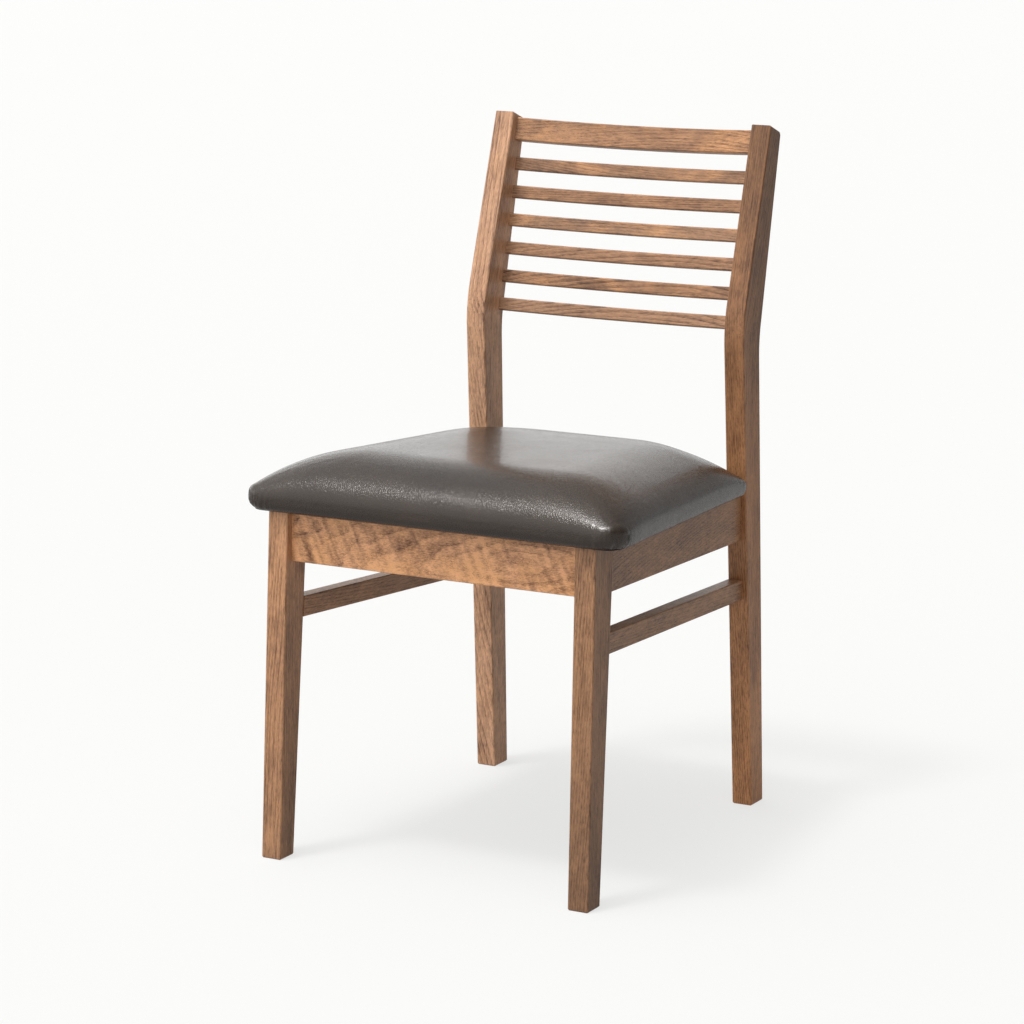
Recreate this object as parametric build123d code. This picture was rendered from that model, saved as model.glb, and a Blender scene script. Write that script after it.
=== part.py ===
from build123d import *
import math
import os

os.makedirs("parts", exist_ok=True)

# A side chair with a raked slatted back, four tapered legs and a drop-on padded seat.
# Millimetres, +Z up. The sitter faces -Y, so the sitter's left is +X.
# Everything is laid out about the middle of the frame, then slid along Y so that
# the origin ends at the bottom centre of the whole chair.

# ---- legs ----
leg_thick = 26.6            # all four legs, across the chair
leg_edge_radius = 2.0
foot_chamfer = 1.5

# front legs: raked forwards, tapered towards the floor
front_toe_y = -247.5        # front face at the floor
front_head_y = -226.5       # front face under the seat
front_toe_depth = 30.1
front_head_depth = 44.8
front_toe_x = 221.1         # outer face at the floor
front_head_x = 217.9        # outer face under the seat

# back posts: one piece each, leg below and raked upright above the bend
total_height = 850.0        # front edge of a post's top
post_toe_y = 232.8
post_toe_depth = 33.7
post_bend_y = 198.8         # front face at the bend
post_bend_z = 612.2
post_top_y = 273.9
post_rear_bend_y = 246.1    # rear face at the bend
post_rear_bend_z = 588.3
post_top_rear_y = 303.0
post_top_rear_z = 839.0
post_toe_x = 198.1          # outer face at the floor
post_top_x = 192.5          # outer face at the top
bend_radius = 160.0
post_top_radius = 6.0

# ---- seat frame ----
seat_front_z = 421.0        # top of the front legs, at their front face
seat_slope = 2.28           # degrees, falling to the rear
apron_height = 60.0
apron_edge_radius = 1.5
front_apron_y = -217.6      # its front face
cross_apron_thick = 20.0    # front and rear aprons
side_apron_thick = 18.0
rail_inset = 7.85           # side rails stand in from the outer leg faces
rear_apron_y = 222.0        # its front face
stretcher_thick = 18.8
stretcher_front_z = 315.0   # top edge at the front leg
stretcher_rear_z = 292.3    # top edge at the back post
stretcher_height = 25.2
stretcher_tenon = (9.0, 15.0, 14.0)     # thickness, height, length

# ---- back ----
slat_tilt = 16.5            # degrees, the lean of the rail and slats
back_inset = 3.6            # rear of the rail and slats, in from the posts' rear faces
rail_thick = 15.5
rail_height = 28.8
rail_top_z = 842.2          # front top edge at the ends
rail_bow = 16.0             # middle of the rail stands behind its ends by this much
rail_housing = 4.0          # the rail's whole end runs this far into the posts
rail_tenon = (7.5, 19.0, 15.0)          # and its tenon this far: thickness, height, length
slat_thick = 7.6
slat_height = 16.3
slat_bow = 11.0
slat_top_z = 792.1          # front top edge of the highest slat, at its ends
slat_pitch = 34.9           # from one slat to the next, in height
slat_count = 6
slat_housing = 12.0         # each slat's ends run this far into the posts
slat_edge_radius = 1.8

# ---- dowels, blocks and screws ----
dowel_radius = 4.0
dowel_reach = 16.0          # into each of the two members
dowel_gap = 1.0             # glue space past each end of a dowel
dowel_spread = 15.0         # above and below the middle of an apron
block_height = 32.0
block_drop = 3.0            # top of a block below the aprons' top edges
block_leg = 58.0            # a block's length along each apron
block_bite = 5.0            # how far the block blanks run into the members before trimming
screw_radius = 2.0
screw_head_radius = 4.0
screw_head_height = 2.6
block_screw_hold = 8.0      # wood between a block screw's head and the apron
block_screw_cross = 0.66    # its place along a front or rear apron, as a share of block_leg
block_screw_side = 0.72     # and along a side apron
seat_screw_place = (0.34, 0.38)         # a seat screw's place in the block, across and along, as shares
seat_screw_gap = 1.0        # from its head to the block's underside
block_screw_bite = 14.0     # thread in the apron
seat_screw_bite = 11.0      # thread in the seat board
cross_recess = (0.9, 4.6, 1.6)          # arm width, arm length, depth

# ---- seat pad, measured in the sloping seat plane ----
pad_front_x = 254.4
pad_rear_x = 203.2
pad_front_y = -239.0
pad_notch_y = 203.0         # the pad clears the front faces of the posts
pad_notch_x = 164.5         # and their inner faces
pad_rear_y = 244.0
pad_crown = 68.0            # height of the padded top over the seat plane
pad_edge = 21.0             # height of the pad's edge, where the crown starts
pad_swell = {"side": 112.0, "front": 105.0, "rear": 140.0}      # width of the rounded shoulder
pad_corner_radius = 24.0
pad_notch_radius = 6.0
pad_rear_radius = 20.0
pad_bottom_round = 8.0
pad_sharp = 1.0             # corners of a smaller radius than this are left square
cover_thick = 1.2
cover_turn_under = 30.0     # the cover is folded this far under the board
dust_thick = 0.6
dust_inset = 8.0
board_thick = 12.0
board_inset = 10.0
staple_inset = 17.0
staple_crown = (10.0, 1.2, 0.6)         # length, width, thickness
staple_leg = 8.0
staple_pitch = 38.0
staple_run = 2              # edges that hold no more staples than this get none

far = 400.0                 # longer than any member, for cutting blanks
spare = 20.0                # how far blanks run on before they are trimmed
long_leg_edge = 50.0        # edges longer than these are the long edges of a leg
long_rail_edge = 200.0      # and of a rail
parts = {}


def side_prism(points, x_low, x_high):
    """Outline in (y, z), run across the chair."""
    outline = make_face(Polyline(*points, close=True))
    return extrude(Plane.YZ.offset(x_low) * outline, amount=x_high - x_low)


def front_prism(points, y_low, y_high):
    """Outline in (x, z), run from front to back."""
    outline = make_face(Polyline(*points, close=True))
    return extrude(Plane.XZ.offset(-y_high) * outline, amount=y_high - y_low)


def plan_prism(points, z_low, z_high):
    """Outline in (x, y), run upwards."""
    outline = make_face(Polyline(*points, close=True))
    return extrude(Plane.XY.offset(z_low) * outline, amount=z_high - z_low)


def blend(low, high, share):
    return low + (high - low) * share


def seat_z(y):
    """Height of the seat plane, the top of the aprons, at a depth y."""
    return seat_front_z - math.tan(math.radians(seat_slope)) * (y - front_head_y)


def front_leg_x(z):
    return blend(front_toe_x, front_head_x, z / seat_front_z)


def post_x(z):
    return blend(post_toe_x, post_top_x, z / total_height)


def post_front_y(z):
    if z < post_bend_z:
        return blend(post_toe_y, post_bend_y, z / post_bend_z)
    return blend(post_bend_y, post_top_y, (z - post_bend_z) / (total_height - post_bend_z))


def post_rear_y(z):
    share = (z - post_rear_bend_z) / (post_top_rear_z - post_rear_bend_z)
    return blend(post_rear_bend_y, post_top_rear_y, share)


def seat_place(x, y, h):
    """A place above the seat plane: y and h run along and square to its slope."""
    slope = math.radians(seat_slope)
    return Vector(x, front_head_y + y * math.cos(slope) + h * math.sin(slope),
                  seat_front_z - y * math.sin(slope) + h * math.cos(slope))


seat_frame = Location((0, front_head_y, seat_front_z), (-seat_slope, 0, 0))


def mirrored(shape):
    return mirror(shape, about=Plane.YZ)


def long_edges(shape, least):
    return [edge for edge in shape.edges() if edge.length > least]


# ---- legs ----

def leg_slab(outer_x, z_high, grow=0.0):
    """The leaning slab, as wide as a leg, that all of a leg lies in."""
    low, high = outer_x(0), outer_x(z_high)
    outline = [(low - leg_thick, 0), (low + grow, 0), (high + grow, z_high), (high - leg_thick, z_high)]
    return front_prism(outline, -far, far)


front_leg_outline = [
    (front_toe_y, 0),
    (front_toe_y + front_toe_depth, 0),
    (front_head_y + front_head_depth, seat_z(front_head_y + front_head_depth)),
    (front_head_y, seat_z(front_head_y)),
]

post_outline = [
    (post_toe_y, 0),
    (post_toe_y + post_toe_depth, 0),
    (post_rear_bend_y, post_rear_bend_z),
    (post_top_rear_y, post_top_rear_z),
    (post_top_y, total_height),
    (post_bend_y, post_bend_z),
]


def post_side_face():
    """The post's side view, with soft bends and a rounded rear top corner."""
    face = make_face(Polyline(*post_outline, close=True))
    for y, z, radius in [(post_bend_y, post_bend_z, bend_radius),
                         (post_rear_bend_y, post_rear_bend_z, bend_radius),
                         (post_top_rear_y, post_top_rear_z, post_top_radius)]:
        corner = face.vertices().sort_by_distance((y, z, 0))[0]
        face = fillet(corner, radius)
    return face


def finish_leg(blank):
    """Rounds the long edges and breaks the edges of the foot."""
    rounded = fillet(long_edges(blank, long_leg_edge), leg_edge_radius)
    return chamfer(rounded.edges().group_by(Axis.Z)[0], foot_chamfer)


front_leg_blank = side_prism(front_leg_outline, 0, far) & leg_slab(front_leg_x, seat_front_z + spare)
post_blank = extrude(Plane.YZ * post_side_face(), amount=far) & leg_slab(post_x, total_height + spare)
front_leg = finish_leg(front_leg_blank)
back_post = finish_leg(post_blank)

# Everything that stands in the way of a rail's end, whole and square-edged.
front_leg_stop = side_prism(front_leg_outline, -far, far)
post_stop = side_prism(post_outline, -far, far)


# ---- side rails, aprons and stretchers ----

def rail_strip(thick, inset, z):
    """Plan of a side rail: from inside the front leg to inside the back post."""
    front_y, rear_y = front_head_y + front_head_depth / 2, post_front_y(z) + post_toe_depth / 2
    front_x = front_leg_x(z) - inset
    rear_x = post_x(z) - inset
    outline = [(front_x - thick, front_y), (front_x, front_y), (rear_x, rear_y), (rear_x - thick, rear_y)]
    return plan_prism(outline, 0, total_height)


def side_rail(thick, inset, front_top, rear_top, height):
    """A bar between a front leg and a back post; both tops are heights at the bar's ends."""
    front_y, rear_y = front_head_y, post_toe_y
    outline = [(front_y, front_top), (rear_y, rear_top), (rear_y, rear_top - height),
               (front_y, front_top - height)]
    bar = side_prism(outline, 0, far) & rail_strip(thick, inset, front_top)
    return fillet(long_edges(bar, long_rail_edge), apron_edge_radius) - front_leg_stop - post_stop


side_apron = side_rail(side_apron_thick, rail_inset, seat_z(front_head_y), seat_z(post_toe_y), apron_height)

tenon_thick, tenon_height, tenon_length = stretcher_tenon
stretcher_fall = (stretcher_front_z - stretcher_rear_z) / (post_toe_y - front_head_y)
side_stretcher = side_rail(stretcher_thick, rail_inset, stretcher_front_z, stretcher_rear_z,
                           stretcher_height)


def stretcher_core():
    """The bar that makes both tenons of a stretcher."""
    drop = (stretcher_height - tenon_height) / 2
    middle_z = (stretcher_front_z + stretcher_rear_z) / 2
    front_y = side_stretcher.bounding_box().min.Y - tenon_length
    rear_y = side_stretcher.bounding_box().max.Y + tenon_length
    front_z = stretcher_front_z - drop - stretcher_fall * (front_y - front_head_y)
    rear_z = stretcher_front_z - drop - stretcher_fall * (rear_y - front_head_y)
    outline = [(front_y, front_z), (rear_y, rear_z), (rear_y, rear_z - tenon_height),
               (front_y, front_z - tenon_height)]
    inset = rail_inset + (stretcher_thick - tenon_thick) / 2
    front_x = front_leg_x(middle_z) - inset
    rear_x = post_x(middle_z) - inset
    strip = [(front_x - tenon_thick, front_y), (front_x, front_y), (rear_x, rear_y),
             (rear_x - tenon_thick, rear_y)]
    return side_prism(outline, 0, far) & plan_prism(strip, 0, total_height)


stretcher_bar = stretcher_core()
side_stretcher += stretcher_bar
front_leg -= stretcher_bar
back_post -= stretcher_bar


def cross_apron(front_y, leg_x):
    """A front or rear apron, square to the chair's length, between two leaning legs."""
    top_front, top_rear = seat_z(front_y), seat_z(front_y + cross_apron_thick)
    outline = [(front_y, top_front), (front_y + cross_apron_thick, top_rear),
               (front_y + cross_apron_thick, top_rear - apron_height), (front_y, top_front - apron_height)]
    bar = side_prism(outline, -far / 2, far / 2)
    bar = fillet(long_edges(bar, long_rail_edge), apron_edge_radius)
    slab = leg_slab(leg_x, total_height, grow=far)
    return bar - slab - mirrored(slab)


front_apron = cross_apron(front_apron_y, front_leg_x)
rear_apron = cross_apron(rear_apron_y, post_x)


# ---- dowels ----

def pin(start, direction, radius, length):
    return Solid.make_cylinder(radius, length, Plane(origin=start, z_dir=direction))


def apron_joint_dowels(place, direction):
    """Two dowels and their holes at a joint whose middle is at place."""
    dowels, holes = [], []
    for lift in (-dowel_spread, dowel_spread):
        middle = place + Vector(0, 0, lift)
        dowels.append(pin(middle - direction * dowel_reach, direction, dowel_radius, 2 * dowel_reach))
        reach = dowel_reach + dowel_gap
        holes.append(pin(middle - direction * reach, direction, dowel_radius, 2 * reach))
    return dowels, holes


apron_dowels = []
side_middle_x = rail_inset + side_apron_thick / 2
joint_front_y = front_head_y + front_head_depth
joint_rear_y = post_front_y(seat_z(post_toe_y) - apron_height / 2)
side_front = Vector(front_leg_x(seat_front_z) - side_middle_x, joint_front_y,
                    seat_z(joint_front_y) - apron_height / 2)
side_rear = Vector(post_x(seat_front_z) - side_middle_x, joint_rear_y,
                   seat_z(joint_rear_y) - apron_height / 2)
side_direction = (side_rear - side_front).normalized()
cross_middle = cross_apron_thick / 2
front_joint = Vector(front_leg_x(seat_front_z - apron_height / 2) - leg_thick, front_apron_y + cross_middle,
                     seat_z(front_apron_y + cross_middle) - apron_height / 2)
rear_joint = Vector(post_x(seat_front_z - apron_height / 2) - leg_thick, rear_apron_y + cross_middle,
                    seat_z(rear_apron_y + cross_middle) - apron_height / 2)

for place, direction, member in [(side_front, side_direction, "side front"),
                                 (side_rear, side_direction, "side rear"),
                                 (front_joint, Vector(1, 0, 0), "front"),
                                 (rear_joint, Vector(1, 0, 0), "rear")]:
    dowels, holes = apron_joint_dowels(place, direction)
    apron_dowels += dowels + [mirrored(dowel) for dowel in dowels]
    for hole in holes:
        if member.startswith("side"):
            side_apron -= hole
        if member == "front":
            front_apron = front_apron - hole - mirrored(hole)
        if member == "rear":
            rear_apron = rear_apron - hole - mirrored(hole)
        if member in ("side front", "front"):
            front_leg -= hole
        else:
            back_post -= hole


# ---- back: bowed rail and slats ----

def lean_plane(top_z, thick):
    """Plane square to the leaning back, at the front top edge of a bar whose ends are that high."""
    tilt = math.radians(slat_tilt)
    front_y = post_rear_y(top_z) - back_inset - thick / math.cos(tilt)
    return Plane(origin=(0, front_y, top_z), x_dir=(1, 0, 0), z_dir=(0, math.sin(tilt), math.cos(tilt)))


def bowed_bar(top_z, thick, height, bow, edge_radius, half_length, reach):
    """A round-edged bar bowed to the rear, its section leaning with the back.

    top_z is the height of the front top edge where the bar meets the posts, and reach
    is how far each end runs on past that.
    """
    lean = lean_plane(top_z, thick)
    end = half_length + reach
    end_depth = bow - bow * (end / half_length) ** 2 + thick / 2
    line = ThreePointArc((-end, end_depth), (0, bow + thick / 2), (end, end_depth))
    path = lean.offset(-height / 2) * line
    start = Plane(origin=path @ 0, x_dir=lean.z_dir, z_dir=path % 0)
    return sweep(start * RectangleRounded(height, thick, edge_radius), path=path)


def inner_x(z):
    return post_x(z) - leg_thick


back_slats = []
for number in range(slat_count):
    top_z = slat_top_z - number * slat_pitch
    slat = bowed_bar(top_z, slat_thick, slat_height, slat_bow, slat_edge_radius,
                     inner_x(top_z), slat_housing)
    back_post -= slat
    back_slats.append(slat)

rail_half = inner_x(rail_top_z)


def rail_tenon_bar():
    """One tenon of the top rail, a plain bar that starts inside the rail's housed end."""
    thick, height, length = rail_tenon
    drop = (rail_height - height) / 2
    set_back = (rail_thick - thick) / 2
    end_slope = 2 * rail_bow / rail_half
    near, end = rail_half, rail_half + length
    end_y = set_back - length * end_slope
    outline = [(near, set_back), (end, end_y), (end, end_y + thick), (near, set_back + thick)]
    return lean_plane(rail_top_z, rail_thick) * plan_prism(outline, -drop - height, -drop)


top_rail = bowed_bar(rail_top_z, rail_thick, rail_height, rail_bow, apron_edge_radius,
                     rail_half, rail_housing)
top_rail = top_rail + rail_tenon_bar() + mirrored(rail_tenon_bar())
back_post -= top_rail


# ---- corner blocks and screws ----

def screw(place, direction, length):
    """A flat-topped screw: place is under the head, direction is the way it is driven."""
    shank = pin(place, direction, screw_radius, length)
    head_frame = Plane(origin=place, z_dir=-direction)
    head = Solid.make_cylinder(screw_head_radius, screw_head_height, head_frame)
    arm_width, arm_length, depth = cross_recess
    sketch = Rectangle(arm_width, arm_length) + Rectangle(arm_length, arm_width)
    recess = extrude(head_frame.offset(screw_head_height - depth) * sketch, amount=depth)
    return (head - recess) + shank


def screw_hole(place, direction, length):
    """Pilot hole and the counterbore that lets the head in from outside."""
    pilot = pin(place, direction, screw_radius, length)
    return pilot + pin(place, -direction, screw_head_radius, block_leg)


def corner_block(corner, toward, cutters):
    """A triangular glue block: corner is its square corner, toward gives its two directions."""
    x, y = corner
    step_x, step_y = toward
    x, y = x - step_x * block_bite, y - step_y * block_bite
    size = block_leg + 2 * block_bite
    outline = [(x, y), (x + step_x * size, y), (x, y + step_y * size)]
    top = -block_drop
    block = seat_frame * plan_prism([(px, py - front_head_y) for px, py in outline], top - block_height, top)
    for cutter in cutters:
        block -= cutter
    return max(block.solids(), key=lambda solid: solid.volume)


front_corner = (front_leg_x(seat_front_z) - rail_inset - side_apron_thick, front_apron_y + cross_apron_thick)
rear_corner = (post_x(seat_front_z) - rail_inset - side_apron_thick, rear_apron_y)
front_block = corner_block(front_corner, (-1, 1), [front_apron, side_apron, front_leg_blank])
rear_block = corner_block(rear_corner, (-1, -1), [rear_apron, side_apron, post_blank])

block_screws, seat_screws = [], []
mid_block = -block_drop - block_height / 2
into_side = Vector(1, 0, 0)
board_low = dust_thick + cover_thick
seat_up = (seat_place(0, 0, 1) - seat_place(0, 0, 0)).normalized()
seat_screw_length = (block_height - screw_head_height - seat_screw_gap + block_drop + board_low
                     + seat_screw_bite)
seat_holes = []
for block_name, corner, step_y in [("front", front_corner, 1), ("rear", rear_corner, -1)]:
    corner_x, corner_y = corner
    into_cross = Vector(0, -step_y, 0)
    cross_start = seat_place(corner_x - block_screw_cross * block_leg,
                             corner_y + step_y * block_screw_hold - front_head_y, mid_block)
    side_y = corner_y + step_y * block_screw_side * block_leg
    face_x = blend(side_front.X, side_rear.X, (side_y - side_front.Y) / (side_rear.Y - side_front.Y))
    side_start = seat_place(face_x - side_apron_thick / 2 - block_screw_hold, side_y - front_head_y,
                            mid_block)
    across, along = seat_screw_place
    seat_start = seat_place(corner_x - across * block_leg,
                            corner_y + step_y * along * block_leg - front_head_y,
                            -block_drop - block_height + screw_head_height + seat_screw_gap)
    drive = [(cross_start, into_cross, block_screw_hold + block_screw_bite, block_screws),
             (side_start, into_side, block_screw_hold + block_screw_bite, block_screws),
             (seat_start, seat_up, seat_screw_length, seat_screws)]
    for start, direction, length, group in drive:
        one = screw(start, direction, length)
        group += [one, mirrored(one)]
        hole = screw_hole(start, direction, length)
        if block_name == "front":
            front_block -= hole
            front_apron = front_apron - hole - mirrored(hole)
        else:
            rear_block -= hole
            rear_apron = rear_apron - hole - mirrored(hole)
        if group is block_screws:
            side_apron -= pin(start, direction, screw_radius, length)
        else:
            seat_holes += [pin(start, direction, screw_radius, length),
                           mirrored(pin(start, direction, screw_radius, length))]


# ---- seat pad ----

def pad_corners(inset):
    """Corners of the pad's plan with their radii, clockwise from the front left, drawn in by inset."""
    lean = math.atan2(pad_front_x - pad_rear_x, pad_notch_y - pad_front_y)
    across = inset / math.cos(lean)
    front, notch, rear = pad_front_y + inset, pad_notch_y - inset, pad_rear_y - inset
    front_share, notch_share = [(y - pad_front_y) / (pad_notch_y - pad_front_y) for y in (front, notch)]
    front_x = blend(pad_front_x, pad_rear_x, front_share) - across
    notch_x = blend(pad_front_x, pad_rear_x, notch_share) - across
    neck = pad_notch_x - inset
    right = [(front_x, front, pad_corner_radius - inset), (notch_x, notch, pad_rear_radius - inset),
             (neck, notch, pad_notch_radius + inset), (neck, rear, pad_rear_radius - inset)]
    left = [(-x, y, radius) for x, y, radius in reversed(right)]
    return right + left


def pad_prism(inset, low, high):
    """The pad's plan, its corners rounded, run up between two heights in the seat's own frame."""
    corners = pad_corners(inset)
    outline = [(x, y - front_head_y) for x, y, radius in corners]
    face = make_face(Polyline(*outline, close=True))
    for x, y, radius in corners:
        if radius > pad_sharp:
            corner = face.vertices().sort_by_distance((x, y - front_head_y, 0))[0]
            face = fillet(corner, radius)
    return extrude(Plane.XY.offset(low) * face, amount=high - low)


def shoulder_cutter(start, end, swell, inset):
    """What an arched shoulder takes off a pad along one edge of its plan, from start to end."""
    crown, edge = pad_crown - inset, pad_edge - inset
    rise = crown - edge
    radius = (swell ** 2 + rise ** 2) / (2 * rise)
    half_turn = math.asin(swell / radius) / 2
    middle = (swell - radius * math.sin(half_turn), crown - radius * (1 - math.cos(half_turn)))
    along = Vector(end[0] - start[0], end[1] - start[1], 0).normalized()
    inward = Vector(0, 0, 1).cross(along)
    arch = ThreePointArc((0, edge), middle, (swell, crown))
    above = Polyline((swell, crown), (swell, crown + far), (-far, crown + far), (-far, edge), (0, edge))
    origin = Vector(start[0], start[1] - front_head_y, 0) - along * far
    edge_frame = Plane(origin=origin, x_dir=inward, z_dir=-along)
    return extrude(edge_frame * make_face([arch, above]), amount=-4 * far)


def pad_solid(inset, low):
    """A pad with arched shoulders and a rounded bottom edge."""
    block = pad_prism(inset, low, pad_crown - inset)
    block = fillet(block.edges().group_by(Axis.Z)[0], pad_bottom_round - inset)
    corners = [(x, y) for x, y, radius in pad_corners(inset)]
    right_front, right_side, left_side, left_front = corners[0], corners[1], corners[-2], corners[-1]
    rear_right, rear_left = corners[3], corners[4]
    for start, end, name in [(right_front, right_side, "side"), (left_side, left_front, "side"),
                             (left_front, right_front, "front"), (rear_right, rear_left, "rear")]:
        block -= shoulder_cutter(start, end, pad_swell[name], inset)
    return block


def staple_line():
    """Middle and direction of every staple, evenly spaced along the pad's longer edges."""
    places = []
    corners = [(x, y) for x, y, radius in pad_corners(staple_inset)]
    for start, end in zip(corners, corners[1:] + corners[:1]):
        run = Vector(end[0] - start[0], end[1] - start[1], 0)
        count = round(run.length / staple_pitch)
        if count > staple_run:
            shares = [(i + 0.5) / count for i in range(count)]
            places += [(Vector(*start, 0) + run * share, run.normalized()) for share in shares]
    return places


def staple(place, direction):
    length, width, thick = staple_crown
    lie = Plane(origin=(place.X, place.Y - front_head_y, 0), x_dir=direction, z_dir=(0, 0, 1))
    crown = Pos(0, 0, thick / 2) * Box(length, width, thick)
    tall = thick + staple_leg
    legs = [Pos(side * (length - width) / 2, 0, tall / 2) * Box(width, width, tall) for side in (-1, 1)]
    return lie * (crown + legs[0] + legs[1])


pad_low = dust_thick
pad_outside = pad_solid(0, pad_low)
pad_inside = pad_solid(cover_thick, board_low)
opening = pad_prism(cover_turn_under, 0, board_low)
seat_cover = pad_outside - pad_inside - opening
seat_board = pad_prism(board_inset, board_low, board_low + board_thick)
seat_foam = pad_inside - seat_board
dust_cover = pad_prism(dust_inset, 0, dust_thick)
staples = [staple(place, direction) for place, direction in staple_line()]
for one in staples:
    seat_board -= one
    dust_cover -= one
    seat_cover -= one

seat_board = seat_frame * seat_board
dust_cover = seat_frame * dust_cover
seat_cover = seat_frame * seat_cover
for hole in seat_holes:
    seat_board -= hole
    dust_cover -= hole
    seat_cover -= hole


# ---- the pieces, named ----

for name, shape in [("front_leg", front_leg), ("back_post", back_post), ("side_apron", side_apron),
                    ("side_stretcher", side_stretcher), ("corner_block_front", front_block),
                    ("corner_block_rear", rear_block)]:
    parts[name + "_left"] = shape
    parts[name + "_right"] = mirrored(shape)
parts["front_apron"] = front_apron
parts["rear_apron"] = rear_apron
parts["top_rail"] = top_rail
for number, slat in enumerate(back_slats, start=1):
    parts[f"back_slat_{number}"] = slat
parts["apron_dowels"] = Compound(children=apron_dowels)
parts["corner_block_screws"] = Compound(children=block_screws)
parts["seat_screws"] = Compound(children=seat_screws)
parts["seat_board"] = seat_board
parts["seat_foam"] = seat_frame * seat_foam
parts["seat_cover"] = seat_cover
parts["seat_dust_cover"] = dust_cover
parts["cover_staples"] = seat_frame * Compound(children=staples)

whole = Compound(children=[Compound(shape.solids()) for shape in parts.values()]).bounding_box()
centre_y = (whole.min.Y + whole.max.Y) / 2
for name, shape in parts.items():
    export_step(Pos(0, -centre_y, -whole.min.Z) * Compound(shape.solids()), f"parts/{name}.step")
print("slid along Y by", round(-centre_y, 2), "to a box of",
      [round(side, 1) for side in (whole.size.X, whole.size.Y, whole.size.Z)])
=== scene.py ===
import math

import bpy
import bmesh
import numpy as np
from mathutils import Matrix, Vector, noise
from mathutils.bvhtree import BVHTree


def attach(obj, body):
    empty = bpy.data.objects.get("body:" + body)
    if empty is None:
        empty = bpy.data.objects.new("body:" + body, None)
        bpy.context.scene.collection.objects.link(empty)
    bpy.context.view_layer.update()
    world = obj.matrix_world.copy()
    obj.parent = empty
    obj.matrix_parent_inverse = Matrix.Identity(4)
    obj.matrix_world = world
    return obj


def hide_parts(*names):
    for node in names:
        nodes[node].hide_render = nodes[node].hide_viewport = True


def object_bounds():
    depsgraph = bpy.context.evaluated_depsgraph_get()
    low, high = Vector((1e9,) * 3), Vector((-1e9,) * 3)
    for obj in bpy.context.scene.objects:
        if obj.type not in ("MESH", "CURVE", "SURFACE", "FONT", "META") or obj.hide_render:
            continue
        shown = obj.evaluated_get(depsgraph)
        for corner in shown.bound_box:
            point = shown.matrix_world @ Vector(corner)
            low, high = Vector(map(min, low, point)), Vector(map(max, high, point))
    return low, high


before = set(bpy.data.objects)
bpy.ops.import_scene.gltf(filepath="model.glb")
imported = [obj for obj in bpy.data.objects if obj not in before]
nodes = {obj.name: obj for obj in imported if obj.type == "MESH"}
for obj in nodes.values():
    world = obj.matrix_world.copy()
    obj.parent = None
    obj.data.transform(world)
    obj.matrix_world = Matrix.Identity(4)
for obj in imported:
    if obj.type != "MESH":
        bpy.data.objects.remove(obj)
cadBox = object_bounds()
scene = bpy.context.scene
print("frame loaded:", len(nodes), "nodes")


# the seat's own plane, which falls to the rear; everything on the pad is measured from it
seat = {
    "frontY": -0.2597,          # front face of the front legs, where the plane is at frontZ
    "frontZ": 0.421,
    "slope": math.radians(2.28),
}


def seatPoint(x, y, height):
    # y runs along the floor, height stands square to the seat's plane
    lean = seat["slope"]
    z = seat["frontZ"] - math.tan(lean) * (y - seat["frontY"])
    return Vector((x, y + height * math.sin(lean), z + height * math.cos(lean)))


def seatHeight(point):
    lean = seat["slope"]
    z = seat["frontZ"] - math.tan(lean) * (point[1] - seat["frontY"])
    return (point[2] - z) * math.cos(lean)


def newObject(name, mesh):
    made = bpy.data.objects.new(name, mesh)
    scene.collection.objects.link(made)
    return made


def dropObject(made):
    bpy.data.objects.remove(made, do_unlink=True)


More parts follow.
